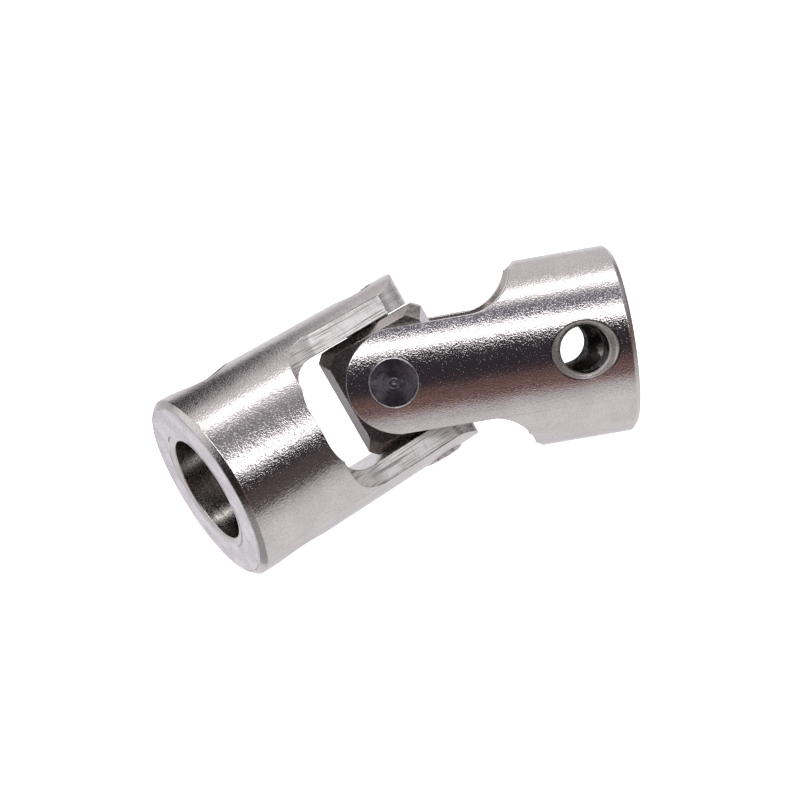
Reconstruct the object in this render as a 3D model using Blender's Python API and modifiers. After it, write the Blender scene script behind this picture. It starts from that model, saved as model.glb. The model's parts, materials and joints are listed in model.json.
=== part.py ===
"""Single universal joint shaft coupling, 9 mm outside, 5 mm bores.

Two identical machined yokes are joined by a centre block.  One long pin runs
right through the block and both arms of yoke A.  Two short pins hold the block
in the arms of yoke B and stop just short of the long pin.

World frame: metres, +Z up.  The coupling lies on the plane Z = 0 on its two
hubs, bent at the block.  +X runs from hub A to hub B, and the elbow of the
bend points to +Y.

Yoke frame: the pin axis is local X, the hub axis is local Z and points out of
the hub's end face, and the centre of the block is the origin.
"""
import math

import bmesh
import bpy
from mathutils import Matrix, Vector

# ------------------------------------------------------------ driving sizes
OUTER_R = 0.0045          # hub radius (9 mm outside diameter)
BORE_R = 0.0025           # shaft bore radius (5 mm)
HALF_LEN = 0.0110         # block centre to a hub's end face
END_CHAMFER = 0.00025     # outer edge of the end face
BORE_SINK_R = 0.00277      # shallow countersink at the mouth of the bore
BORE_SINK_DEPTH = 0.00010
SLOT_W = 0.0056           # gap between a yoke's two arms
SLOT_BASE = 0.0064        # block centre to the bottom of the gap
SLOT_CORNER_R = 0.00215   # corner radius at the bottom of the gap
ARM_W = 0.00482           # width of an arm across its two side flats
FLAT_END = 0.00388        # where the side flats start to curve up to the hub
FLAT_FILLET_R = 0.00225   # radius of that curve
TIP_R = 0.00245           # radius of an arm's round tip
TIP_SHIFT = 0.00031       # centre of the tip's arc, hub side of the pin
SCREW_HOLE_R = 0.00107    # cross hole for a set screw
SCREW_HOLE_Z = 0.00869    # block centre to that hole's axis
SCREW_SINK_R = 0.00155    # countersink of that hole at the hub's crown
SCREW_SINK_DEPTH = 0.00048
PIN_R = 0.00115           # hinge pins
PIN_END = 0.00438         # block centre to a pin's outer end
PIN_EDGE = 0.00006        # broken edge of a pin
PIN_PRESS_GAP = 0.000015  # modelled gap of a pin in its arm (pressed)
PIN_RUN_GAP = 0.00004     # running gap of a pin in the block
SHORT_PIN_IN = 0.00130    # block centre to a short pin's inner end
BLOCK_W = 0.0053          # centre block, side
BLOCK_L = 0.0054          # centre block, along the short pins
BLOCK_CHAMFER = 0.00034

BEND_HALF = math.radians(16.8)   # each hub axis leans this far from X
PIN_ROLL = math.radians(52.4)     # long pin above the horizontal
CROSS = Vector((0.0, 0.00140, OUTER_R))   # centre of the block

SEG_HUB = 72
SEG_PIN = 36
SEG_SCREW = 32

# ------------------------------------------------------------------- reset
for old in list(bpy.data.objects):
    bpy.data.objects.remove(old, do_unlink=True)
for old in list(bpy.data.meshes):
    bpy.data.meshes.remove(old)
for old in list(bpy.data.curves):
    bpy.data.curves.remove(old)

scene = bpy.context.scene
parts = bpy.data.collections.new("universal_joint_shaft")
cutters = bpy.data.collections.new("cutters")
scene.collection.children.link(parts)
scene.collection.children.link(cutters)


# ----------------------------------------------------------------- helpers
def material(name, color, roughness):
    mat = bpy.data.materials.new(name)
    mat.use_nodes = True
    bsdf = mat.node_tree.nodes["Principled BSDF"]
    bsdf.inputs["Base Color"].default_value = (*color, 1.0)
    bsdf.inputs["Metallic"].default_value = 1.0
    bsdf.inputs["Roughness"].default_value = roughness
    mat.diffuse_color = (*color, 1.0)
    return mat


def new_object(name, data, collection):
    obj = bpy.data.objects.new(name, data)
    collection.objects.link(obj)
    return obj


def as_cutter(obj):
    obj.hide_render = True
    obj.display_type = "WIRE"
    return obj


def baked_mesh(obj, name):
    """The mesh an object has once its modifiers are worked out."""
    bpy.context.view_layer.update()
    graph = bpy.context.evaluated_depsgraph_get()
    mesh = bpy.data.meshes.new_from_object(obj.evaluated_get(graph))
    mesh.name = name
    bm = bmesh.new()
    bm.from_mesh(mesh)
    bmesh.ops.remove_doubles(bm, verts=bm.verts, dist=1e-7)
    bm.to_mesh(mesh)
    bm.free()
    return mesh


def boolean(obj, tool, operation):
    mod = obj.modifiers.new(operation.lower(), "BOOLEAN")
    mod.operation = operation
    mod.solver = "EXACT"
    mod.object = tool


def turned(name, profile, segments, collection):
    """A closed profile of (radius, height) points turned about local Z."""
    mesh = bpy.data.meshes.new(name)
    bm = bmesh.new()
    verts = [bm.verts.new((r, 0.0, z)) for r, z in profile]
    closed = profile[0][0] > 1e-9
    for a, b in zip(verts, verts[1:]):
        bm.edges.new((a, b))
    if closed:
        bm.edges.new((verts[-1], verts[0]))
    bm.to_mesh(mesh)
    bm.free()
    obj = new_object(name, mesh, collection)
    screw = obj.modifiers.new("turn", "SCREW")
    screw.axis = "Z"
    screw.angle = 2.0 * math.pi
    screw.steps = segments
    screw.render_steps = segments
    screw.use_merge_vertices = True
    screw.merge_threshold = 1e-7
    return obj


def cylinder(name, radius, z0, z1, segments, collection, radius_top=None):
    mesh = bpy.data.meshes.new(name)
    bm = bmesh.new()
    bmesh.ops.create_cone(
        bm, cap_ends=True, cap_tris=False, segments=segments,
        radius1=radius, radius2=radius if radius_top is None else radius_top,
        depth=z1 - z0, matrix=Matrix.Translation((0.0, 0.0, 0.5 * (z0 + z1))))
    bm.to_mesh(mesh)
    bm.free()
    return new_object(name, mesh, collection)


def box(name, low, high, collection, round_edges=(), radius=0.0, segments=8):
    """A box whose edges picked out by (axis, sign, axis, sign) are rounded."""
    mesh = bpy.data.meshes.new(name)
    bm = bmesh.new()
    bmesh.ops.create_cube(bm, size=1.0)
    size = [b - a for a, b in zip(low, high)]
    mid = [0.5 * (a + b) for a, b in zip(low, high)]
    bmesh.ops.transform(
        bm, verts=bm.verts,
        matrix=Matrix.Translation(mid) @ Matrix.Diagonal((*size, 1.0)))
    picked = []
    for axis_a, sign_a, axis_b, sign_b in round_edges:
        for edge in bm.edges:
            if all(sign_a * (v.co[axis_a] - mid[axis_a]) > 0
                   and sign_b * (v.co[axis_b] - mid[axis_b]) > 0
                   for v in edge.verts):
                picked.append(edge)
    if picked:
        bmesh.ops.bevel(bm, geom=picked, offset=radius, segments=segments,
                        profile=0.5, affect="EDGES", clamp_overlap=False)
    bm.to_mesh(mesh)
    bm.free()
    return new_object(name, mesh, collection)


def turn_to_x(obj):
    """Turn a shape made about Z so that it runs along X."""
    obj.data.transform(Matrix.Rotation(math.radians(90.0), 4, "Y"))
    return obj


def frame_matrix(x_axis, z_axis, origin):
    x_axis = x_axis.normalized()
    z_axis = z_axis.normalized()
    y_axis = z_axis.cross(x_axis)
    m = Matrix((x_axis, y_axis, z_axis)).transposed().to_4x4()
    m.translation = origin
    return m


# ---------------------------------------------------- hub axes and pin axes
toward_b = Vector((math.cos(BEND_HALF), -math.sin(BEND_HALF), 0.0))
toward_a = Vector((-math.cos(BEND_HALF), -math.sin(BEND_HALF), 0.0))
side_a = Vector((-math.sin(BEND_HALF), math.cos(BEND_HALF), 0.0))
long_axis = math.cos(PIN_ROLL) * side_a + math.sin(PIN_ROLL) * Vector((0, 0, 1))
short_axis = toward_b.cross(long_axis).normalized()
if short_axis.y > 0.0:
    short_axis.negate()

FRAME_A = frame_matrix(long_axis, toward_a, CROSS)
FRAME_B = frame_matrix(short_axis, toward_b, CROSS)
FRAME_BLOCK = frame_matrix(long_axis, short_axis, CROSS)   # Z along the short pins


# --------------------------------------------------------------- the yokes
def plan_outline():
    """The yoke seen along its pin, as (across, along) points.

    Round tip, two side flats, and the two curves that run out to the hub.
    """
    half = 0.5 * ARM_W
    start = math.acos(half / TIP_R)
    pts = []
    steps = 24
    for i in range(steps + 1):
        a = math.pi + start + (math.pi - 2.0 * start) * i / steps
        pts.append((TIP_R * math.cos(a), TIP_SHIFT + TIP_R * math.sin(a)))
    right = []
    steps = 10
    for i in range(steps + 1):
        a = math.pi - 0.5 * math.pi * i / steps
        right.append((half + FLAT_FILLET_R + FLAT_FILLET_R * math.cos(a),
                      FLAT_END + FLAT_FILLET_R * math.sin(a)))
    wide = 2.0 * OUTER_R
    top = HALF_LEN + 0.002
    right += [(wide, FLAT_END + FLAT_FILLET_R), (wide, top)]
    left = [(-x, z) for x, z in reversed(right)]
    return pts + right + left


def build_yoke_mesh():
    low = -0.003
    blank = turned("yoke_blank", [
        (BORE_SINK_R, HALF_LEN),
        (OUTER_R - END_CHAMFER, HALF_LEN),
        (OUTER_R, HALF_LEN - END_CHAMFER),
        (OUTER_R, low),
        (BORE_R, low),
        (BORE_R, HALF_LEN - BORE_SINK_DEPTH),
    ], SEG_HUB, cutters)

    # plan shape of the arms, kept where it meets the turned blank
    curve = bpy.data.curves.new("yoke_plan", "CURVE")
    curve.dimensions = "2D"
    curve.fill_mode = "BOTH"
    curve.extrude = 0.006
    spline = curve.splines.new("POLY")
    outline = plan_outline()
    spline.points.add(len(outline) - 1)
    for point, (across, along) in zip(spline.points, outline):
        point.co = (across, along, 0.0, 1.0)
    spline.use_cyclic_u = True
    curve_obj = new_object("yoke_plan_curve", curve, cutters)
    bpy.context.view_layer.update()
    graph = bpy.context.evaluated_depsgraph_get()
    plan_mesh = bpy.data.meshes.new_from_object(curve_obj.evaluated_get(graph))
    bpy.data.objects.remove(curve_obj, do_unlink=True)
    bm = bmesh.new()
    bm.from_mesh(plan_mesh)
    bmesh.ops.remove_doubles(bm, verts=bm.verts, dist=1e-7)
    bmesh.ops.dissolve_limit(bm, angle_limit=math.radians(0.5),
                             verts=bm.verts, edges=bm.edges)
    # curve x -> local Y, curve y -> local Z, thickness -> local X
    bmesh.ops.transform(bm, verts=bm.verts, matrix=Matrix(
        ((0, 0, 1, 0), (1, 0, 0, 0), (0, 1, 0, 0), (0, 0, 0, 1))))
    bmesh.ops.recalc_face_normals(bm, faces=bm.faces)
    bm.to_mesh(plan_mesh)
    bm.free()
    plan = as_cutter(new_object("yoke_plan", plan_mesh, cutters))

    slot = as_cutter(box(
        "yoke_slot", (-0.5 * SLOT_W, -0.006, -0.006),
        (0.5 * SLOT_W, 0.006, SLOT_BASE), cutters,
        round_edges=((0, 1, 2, 1), (0, -1, 2, 1)),
        radius=SLOT_CORNER_R, segments=10))

    pin_hole = as_cutter(turn_to_x(cylinder(
        "pin_hole", PIN_R + PIN_PRESS_GAP, -0.006, 0.006, SEG_PIN, cutters)))

    # set screw hole, countersunk at both ends
    reach = OUTER_R + 0.0004
    slope = (SCREW_SINK_R - SCREW_HOLE_R) / SCREW_SINK_DEPTH
    mouth = SCREW_SINK_R + slope * (reach - OUTER_R)
    neck = OUTER_R - SCREW_SINK_DEPTH
    screw_hole = turned("screw_hole", [
        (0.0, reach), (mouth, reach), (SCREW_HOLE_R, neck),
        (SCREW_HOLE_R, -neck), (mouth, -reach), (0.0, -reach)],
        SEG_SCREW, cutters)
    screw_mesh = baked_mesh(screw_hole, "screw_hole")
    bpy.data.objects.remove(screw_hole, do_unlink=True)
    screw_mesh.transform(Matrix.Translation((0, 0, SCREW_HOLE_Z))
                         @ Matrix.Rotation(math.radians(90.0), 4, "Y"))
    screw_hole = as_cutter(new_object("screw_hole", screw_mesh, cutters))

    boolean(blank, plan, "INTERSECT")
    boolean(blank, slot, "DIFFERENCE")
    boolean(blank, pin_hole, "DIFFERENCE")
    boolean(blank, screw_hole, "DIFFERENCE")
    mesh = baked_mesh(blank, "yoke")
    for obj in (blank, plan, slot, pin_hole, screw_hole):
        bpy.data.objects.remove(obj, do_unlink=True)
    mesh.shade_smooth()
    mesh.set_sharp_from_angle(angle=math.radians(25.0))
    return mesh


# --------------------------------------------------------------- the block
def build_block():
    half = 0.5 * BLOCK_W
    half_l = 0.5 * BLOCK_L
    block = box("cross_block", (-half, -half, -half_l), (half, half, half_l), parts)
    bevel = block.modifiers.new("edges", "BEVEL")
    bevel.width = BLOCK_CHAMFER
    bevel.segments = 1
    bevel.limit_method = "ANGLE"
    long_hole = as_cutter(turn_to_x(cylinder(
        "block_long_hole", PIN_R + PIN_RUN_GAP, -0.004, 0.004, SEG_PIN, cutters)))
    short_hole = as_cutter(cylinder(
        "block_short_hole", PIN_R + PIN_RUN_GAP, -0.004, 0.004, SEG_PIN, cutters))
    boolean(block, long_hole, "DIFFERENCE")
    boolean(block, short_hole, "DIFFERENCE")
    for obj in (long_hole, short_hole):
        obj.matrix_world = FRAME_BLOCK
    block.matrix_world = FRAME_BLOCK
    return block


# ---------------------------------------------------------------- the pins
def build_pin(name, z0, z1, matrix):
    """A plain pin about local Z with broken edges."""
    pin = turned(name, [
        (0.0, z1), (PIN_R - PIN_EDGE, z1), (PIN_R, z1 - PIN_EDGE),
        (PIN_R, z0 + PIN_EDGE), (PIN_R - PIN_EDGE, z0), (0.0, z0)],
        SEG_PIN, parts)
    pin.matrix_world = matrix
    return pin


def pin_frame(axis):
    """Z along the pin, and a flat side facing the same way as its hole."""
    other = short_axis if axis is long_axis else long_axis
    return frame_matrix(other, axis, CROSS)


# ---------------------------------------------------------------- assembly
plated = material("nickel_plated_steel", (0.72, 0.71, 0.70), 0.24)
plated_b = material("nickel_plated_steel_b", (0.72, 0.71, 0.70), 0.24)
block_steel = material("block_steel", (0.66, 0.65, 0.67), 0.30)
pin_steel = material("pin_steel", (0.42, 0.40, 0.44), 0.20)

yoke_mesh = build_yoke_mesh()
yoke_mesh.materials.clear()
yoke_mesh.materials.append(plated)

root = new_object("cross_centre", None, parts)
root.location = CROSS
root.empty_display_size = 0.004

for name, matrix, mat in (("yoke_a", FRAME_A, plated),
                          ("yoke_b", FRAME_B, plated_b)):
    yoke = new_object(name, yoke_mesh, parts)
    yoke.matrix_world = matrix
    yoke.material_slots[0].link = "OBJECT"
    yoke.material_slots[0].material = mat

block = build_block()
block.data.materials.append(block_steel)

pins = (
    build_pin("long_pin", -PIN_END, PIN_END, pin_frame(long_axis)),
    build_pin("short_pin_front", SHORT_PIN_IN, PIN_END, pin_frame(short_axis)),
    build_pin("short_pin_rear", -PIN_END, -SHORT_PIN_IN, pin_frame(short_axis)),
)
for pin in pins:
    pin.data.materials.append(pin_steel)
    pin.data.shade_smooth()

bpy.context.view_layer.update()
for obj in list(parts.objects):
    if obj.type == "MESH":
        world = obj.matrix_world.copy()
        obj.parent = root
        obj.matrix_parent_inverse = Matrix.Translation(-CROSS)
        obj.matrix_world = world
bpy.context.view_layer.update()
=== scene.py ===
"""Looks for the single universal joint coupling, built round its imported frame."""
import json
import math

import bmesh
import bpy
import numpy as np
from mathutils import Matrix, Vector

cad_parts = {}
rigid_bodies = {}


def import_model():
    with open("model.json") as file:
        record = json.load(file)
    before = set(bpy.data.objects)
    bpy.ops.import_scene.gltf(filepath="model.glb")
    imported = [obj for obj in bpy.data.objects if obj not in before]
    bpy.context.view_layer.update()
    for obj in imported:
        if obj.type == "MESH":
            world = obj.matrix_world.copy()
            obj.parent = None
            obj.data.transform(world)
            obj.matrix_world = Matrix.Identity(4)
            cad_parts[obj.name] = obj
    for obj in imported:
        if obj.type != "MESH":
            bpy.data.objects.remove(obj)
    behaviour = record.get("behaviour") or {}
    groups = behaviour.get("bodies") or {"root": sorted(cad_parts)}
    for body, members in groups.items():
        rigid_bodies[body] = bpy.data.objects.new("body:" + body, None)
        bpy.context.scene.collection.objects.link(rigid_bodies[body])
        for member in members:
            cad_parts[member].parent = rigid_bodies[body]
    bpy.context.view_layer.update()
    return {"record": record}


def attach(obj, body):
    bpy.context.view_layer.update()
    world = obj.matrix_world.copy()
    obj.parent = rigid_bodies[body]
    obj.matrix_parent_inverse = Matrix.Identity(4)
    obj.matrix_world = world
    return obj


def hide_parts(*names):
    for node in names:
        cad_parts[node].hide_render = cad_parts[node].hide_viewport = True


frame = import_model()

record = frame["record"]
MM = 0.001

# ------------------------------------------------------------------ sizes, mm
OUTER_R, BORE_R, HALF_LEN = 4.5, 2.5, 11.0
END_CHAMFER, SINK_R, SINK_DEPTH = 0.25, 2.77, 0.10
SLOT_W, SLOT_BASE, SLOT_CORNER_R = 5.6, 6.4, 2.15
ARM_W, FLAT_END, FLAT_FILLET_R = 4.82, 3.88, 2.25
TIP_R, TIP_SHIFT = 2.45, 0.31
HOLE_R, HOLE_Z, HOLE_SINK_R = 1.06, 8.69, 1.55
THREAD_PITCH, THREAD_DEPTH = 0.45, 0.17
PIN_R, PIN_END, PIN_GAP, SHORT_PIN_IN = 1.15, 4.38, 0.015, 1.30
PIN_PROUD = 0.14                   # the long pin stands out a little at its lower end
BLOCK_W, BLOCK_L, BLOCK_CHAMFER = 5.3, 5.4, 0.36

# ------------------------------------------- directions from the joint record
joints = {j["name"]: j for j in record["behaviour"]["joints"]}
mounts = {m["name"]: m for m in record["mounts"]}
long_axis = Vector(joints["long_pin_hinge"]["axis"]).normalized()
short_axis = Vector(joints["short_pin_hinge"]["axis"]).normalized()
cross = Vector(joints["long_pin_hinge"]["pos_m"])
toward_a = Vector(mounts["hub_a_end_face"]["axis"]).normalized()
toward_b = Vector(mounts["hub_b_end_face"]["axis"]).normalized()


def frame_matrix(x_axis, z_axis):
    z = z_axis.normalized()
    y = z.cross(x_axis).normalized()
    x = y.cross(z)
    m = Matrix((x, y, z)).transposed().to_4x4()
    m.translation = cross
    return m


FRAME_A = frame_matrix(long_axis, toward_a)
FRAME_B = frame_matrix(short_axis, toward_b)
FRAME_BLOCK = frame_matrix(long_axis, short_axis)

work = bpy.data.collections.new("work")
bpy.context.scene.collection.children.link(work)


# ------------------------------------------------------------- mesh helpers
def new_object(name, mesh, collection=None):
    obj = bpy.data.objects.new(name, mesh)
    (collection or bpy.context.scene.collection).objects.link(obj)
    return obj


def mesh_from(name, verts, faces, scale=MM):
    mesh = bpy.data.meshes.new(name)
    mesh.from_pydata([tuple(scale * c for c in v) for v in verts], [], faces)
    mesh.update()
    return mesh


def turned_mesh(name, profile, segments, axis="Z", centre=(0.0, 0.0, 0.0)):
    """Closed (radius, height) profile, in mm, turned about an axis.

    The profile runs so that the solid is on its left, from top to bottom on
    the outside. Points on the axis become a single vertex.
    """
    verts, rings = [], []
    for r, h in profile:
        if r < 1e-9:
            rings.append([len(verts)])
            verts.append((0.0, 0.0, h))
        else:
            ring = []
            for i in range(segments):
                a = 2.0 * math.pi * i / segments
                ring.append(len(verts))
                verts.append((r * math.cos(a), r * math.sin(a), h))
            rings.append(ring)
    faces = []
    count = len(rings)
    closed = profile[0][0] > 1e-9
    for k in range(count if closed else count - 1):
        a, b = rings[k], rings[(k + 1) % count]
        if len(a) == 1 and len(b) == 1:
            continue
        for i in range(segments):
            j = (i + 1) % segments
            if len(a) == 1:
                faces.append((a[0], b[i], b[j]))
            elif len(b) == 1:
                faces.append((a[i], b[0], a[j]))
            else:
                faces.append((a[i], b[i], b[j], a[j]))
    if axis == "X":
        verts = [(z, y, -x) for x, y, z in verts]
    verts = [tuple(p + q for p, q in zip(v, centre)) for v in verts]
    return mesh_from(name, verts, faces)


def prism_mesh(name, outline, low, high, order):
    """2D outline, in mm, extruded from low to high. order maps (u, v, w)."""
    n = len(outline)
    verts = [(u, v, low) for u, v in outline] + [(u, v, high) for u, v in outline]
    faces = [tuple(range(n))[::-1], tuple(range(n, 2 * n))]
    for i in range(n):
        j = (i + 1) % n
        faces.append((i, j, n + j, n + i))
    verts = [tuple(v[k] for k in order) for v in verts]
    mesh = mesh_from(name, verts, faces)
    bm = bmesh.new()
    bm.from_mesh(mesh)
    bmesh.ops.recalc_face_normals(bm, faces=bm.faces)
    bm.to_mesh(mesh)
    bm.free()
    return mesh


def outward(mesh):
    bm = bmesh.new()
    bm.from_mesh(mesh)
    bmesh.ops.recalc_face_normals(bm, faces=bm.faces)
    bm.to_mesh(mesh)
    bm.free()
    return mesh


def applied(obj):
    """The object's mesh with its modifiers worked out; the object goes."""
    bpy.context.view_layer.update()
    graph = bpy.context.evaluated_depsgraph_get()
    mesh = bpy.data.meshes.new_from_object(obj.evaluated_get(graph))
    bpy.data.objects.remove(obj, do_unlink=True)
    return mesh


def cut(mesh, tools):
    """Exact booleans, in order: tools are (operation, mesh)."""
    obj = new_object("cutting", mesh, work)
    helpers = []
    for operation, tool in tools:
        helper = new_object("tool", tool, work)
        helpers.append(helper)
        mod = obj.modifiers.new(operation, "BOOLEAN")
        mod.operation = operation
        mod.solver = "EXACT"
        mod.object = helper
    out = applied(obj)
    for helper in helpers:
        bpy.data.objects.remove(helper, do_unlink=True)
    return out


def tidy(mesh, dist=2e-7, angle=0.02):
    """Joins the doubles and thin slivers that booleans leave."""
    bm = bmesh.new()
    bm.from_mesh(mesh)
    bmesh.ops.remove_doubles(bm, verts=bm.verts, dist=dist)
    bmesh.ops.dissolve_limit(bm, angle_limit=math.radians(angle),
                             verts=bm.verts, edges=bm.edges)
    bmesh.ops.dissolve_degenerate(bm, dist=dist, edges=bm.edges)
    bm.to_mesh(mesh)
    bm.free()
    return mesh


def soften(mesh, width, segments=2, angle=28.0):
    """Rounds the sharp edges by a small radius, in mm."""
    obj = new_object("softening", mesh, work)
    mod = obj.modifiers.new("edges", "BEVEL")
    mod.width = width * MM
    mod.segments = segments
    mod.limit_method = "ANGLE"
    mod.angle_limit = math.radians(angle)
    mod.use_clamp_overlap = False
    mod.loop_slide = True
    mod.miter_outer = "MITER_ARC"
    return applied(obj)


# -------------------------------------------------------- analytic surfaces
def unit(a):
    return a / np.maximum(np.linalg.norm(a, axis=-1, keepdims=True), 1e-12)


def radial(centre, axis, sign):
    """Normals of a round wall: sign +1 outward, -1 toward its own axis."""
    keep = [i for i in range(3) if i != axis]

    def normal(points):
        out = np.zeros_like(points)
        for i in keep:
            out[:, i] = points[:, i] - centre[i]
        return sign * unit(out)

    def distance(points):
        return np.sqrt(sum((points[:, i] - centre[i]) ** 2 for i in keep))
    return normal, distance


def surfaces_of_yoke():
    half = 0.5 * ARM_W
    corner_x = 0.5 * SLOT_W - SLOT_CORNER_R
    corner_z = SLOT_BASE - SLOT_CORNER_R
    side = half + FLAT_FILLET_R
    return [
        ("outer", *radial((0, 0, 0), 2, 1.0), OUTER_R),
        ("bore", *radial((0, 0, 0), 2, -1.0), BORE_R),
        ("slot", *radial((corner_x, 0, corner_z), 1, -1.0), SLOT_CORNER_R),
        ("slot", *radial((-corner_x, 0, corner_z), 1, -1.0), SLOT_CORNER_R),
        ("tip", *radial((0, 0, TIP_SHIFT), 0, 1.0), TIP_R),
        ("flat", *radial((0, side, FLAT_END), 0, -1.0), FLAT_FILLET_R),
        ("flat", *radial((0, -side, FLAT_END), 0, -1.0), FLAT_FILLET_R),
        ("pinhole", *radial((0, 0, 0), 0, -1.0), PIN_R + PIN_GAP),
    ]


PLANES = [
    # axis, place, region
    (2, HALF_LEN, "end"), (2, SLOT_BASE, "slot"),
    (0, 0.5 * SLOT_W, "slot"), (0, -0.5 * SLOT_W, "slot"),
    (1, 0.5 * ARM_W, "flat"), (1, -0.5 * ARM_W, "flat"),
]
REGIONS = {"outer": 0, "edge": 0, "flat": 1, "tip": 1, "slot": 2, "bore": 3,
           "end": 4, "pinhole": 3, "hole": 5}
REGIONS["tip"] = 6


def shade_yoke(mesh):
    """Normals from the true surfaces, and a material slot for each region."""
    n_v, n_f, n_l = len(mesh.vertices), len(mesh.polygons), len(mesh.loops)
    co = np.zeros(n_v * 3)
    mesh.vertices.foreach_get("co", co)
    co = co.reshape(-1, 3) / MM
    fn = np.zeros(n_f * 3)
    mesh.polygons.foreach_get("normal", fn)
    fn = fn.reshape(-1, 3)
    area = np.zeros(n_f)
    mesh.polygons.foreach_get("area", area)
    lv = np.zeros(n_l, int)
    mesh.loops.foreach_get("vertex_index", lv)
    start = np.zeros(n_f, int)
    mesh.polygons.foreach_get("loop_start", start)
    total = np.zeros(n_f, int)
    mesh.polygons.foreach_get("loop_total", total)
    lf = np.repeat(np.arange(n_f), total)
    loop_co = co[lv]
    region = np.full(n_f, -1)
    exact = np.zeros(n_f, bool)
    loop_n = fn[lf].copy()

    def all_in(mask):
        return np.add.reduceat(mask.astype(int), start) == total

    names = list(REGIONS)
    for name, normal, distance, radius in surfaces_of_yoke():
        on = np.abs(distance(loop_co) - radius) < 0.0035
        n = normal(loop_co)
        on &= (n * fn[lf]).sum(1) > math.cos(math.radians(7.0))
        hit = all_in(on) & ~exact
        exact |= hit
        region[hit] = names.index(name)
        pick = hit[lf]
        loop_n[pick] = n[pick]
    for axis, place, name in PLANES:
        on = np.abs(loop_co[:, axis] - place) < 0.0015
        hit = all_in(on) & (np.abs(fn[:, axis]) > 0.9995) & ~exact
        exact |= hit
        region[hit] = names.index(name)
    # corners of the small faces take the neighbouring true surface's normal
    sums = np.zeros((n_v, 3))
    counts = np.zeros(n_v)
    pick = exact[lf]
    np.add.at(sums, lv[pick], loop_n[pick])
    np.add.at(counts, lv[pick], 1.0)
    mean = sums / np.maximum(counts, 1.0)[:, None]
    single = (counts > 0) & (np.linalg.norm(mean, axis=1) > 0.995)
    other = ~pick
    take = other & single[lv] & ((unit(mean)[lv] * fn[lf]).sum(1) > 0.55)
    loop_n[take] = unit(mean)[lv][take]
    # the rest are smoothed among themselves
    rest = np.where(other & ~take)[0]
    by_vertex = {}
    for loop in np.where(other)[0]:
        by_vertex.setdefault(lv[loop], []).append(loop)
    for loop in rest:
        face = lf[loop]
        total_n = np.zeros(3)
        for k in by_vertex[lv[loop]]:
            g = lf[k]
            if fn[g] @ fn[face] > 0.80:
                total_n += fn[g] * area[g]
        length = np.linalg.norm(total_n)
        if length > 1e-15:
            loop_n[loop] = total_n / length
    centre = np.add.reduceat(loop_co, start) / total[:, None]
    away = np.hypot(centre[:, 1], centre[:, 2] - HOLE_Z)
    in_hole = (region < 0) & (away < HOLE_SINK_R + 0.02) & (np.abs(centre[:, 0]) > 1.8)
    region[in_hole] = names.index("hole")
    region[region < 0] = names.index("edge")
    index = np.array([REGIONS[names[r]] for r in region], dtype=np.int32)
    mesh.polygons.foreach_set("material_index", index)
    mesh.polygons.foreach_set("use_smooth", np.ones(n_f, bool))
    mesh.update()
    mesh.normals_split_custom_set([tuple(v) for v in unit(loop_n)])
    return {n: int((region == i).sum()) for i, n in enumerate(names)}


# ----------------------------------------------------------------- the yoke
def arc(cx, cy, r, a0, a1, steps):
    return [(cx + r * math.cos(math.radians(a0 + (a1 - a0) * i / steps)),
             cy + r * math.sin(math.radians(a0 + (a1 - a0) * i / steps)))
            for i in range(steps + 1)]


def threaded_hole(segments=72, per_turn=10):
    """Cutter for the set screw hole: a V thread along X and two countersinks.

    Its radius grows where the thread's groove runs, one pitch each turn.
    """
    reach = OUTER_R + 0.35
    neck = OUTER_R - (HOLE_SINK_R - HOLE_R)
    fade = 0.25
    rows = int(round(2.0 * reach / THREAD_PITCH * per_turn))
    xs = [-reach + 2.0 * reach * i / rows for i in range(rows + 1)]
    verts = []
    for x in xs:
        for k in range(segments):
            a = 2.0 * math.pi * k / segments
            turn = (x / THREAD_PITCH - k / segments) % 1.0
            groove = max(0.0, 1.0 - abs(turn - 0.5) / 0.42)
            r = HOLE_R + THREAD_DEPTH * min(1.0, groove * 1.15)
            flare = HOLE_R + (abs(x) - neck)
            r = max(r, flare)
            verts.append((x, r * math.cos(a), HOLE_Z + r * math.sin(a)))
    faces = []
    for i in range(rows):
        for k in range(segments):
            j = (k + 1) % segments
            a, b = i * segments, (i + 1) * segments
            faces.append((a + k, a + j, b + j, b + k))
    faces.append(tuple(range(segments)))
    last = rows * segments
    faces.append(tuple(range(last, last + segments))[::-1])
    return outward(mesh_from("hole_cutter", verts, faces))


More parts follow.
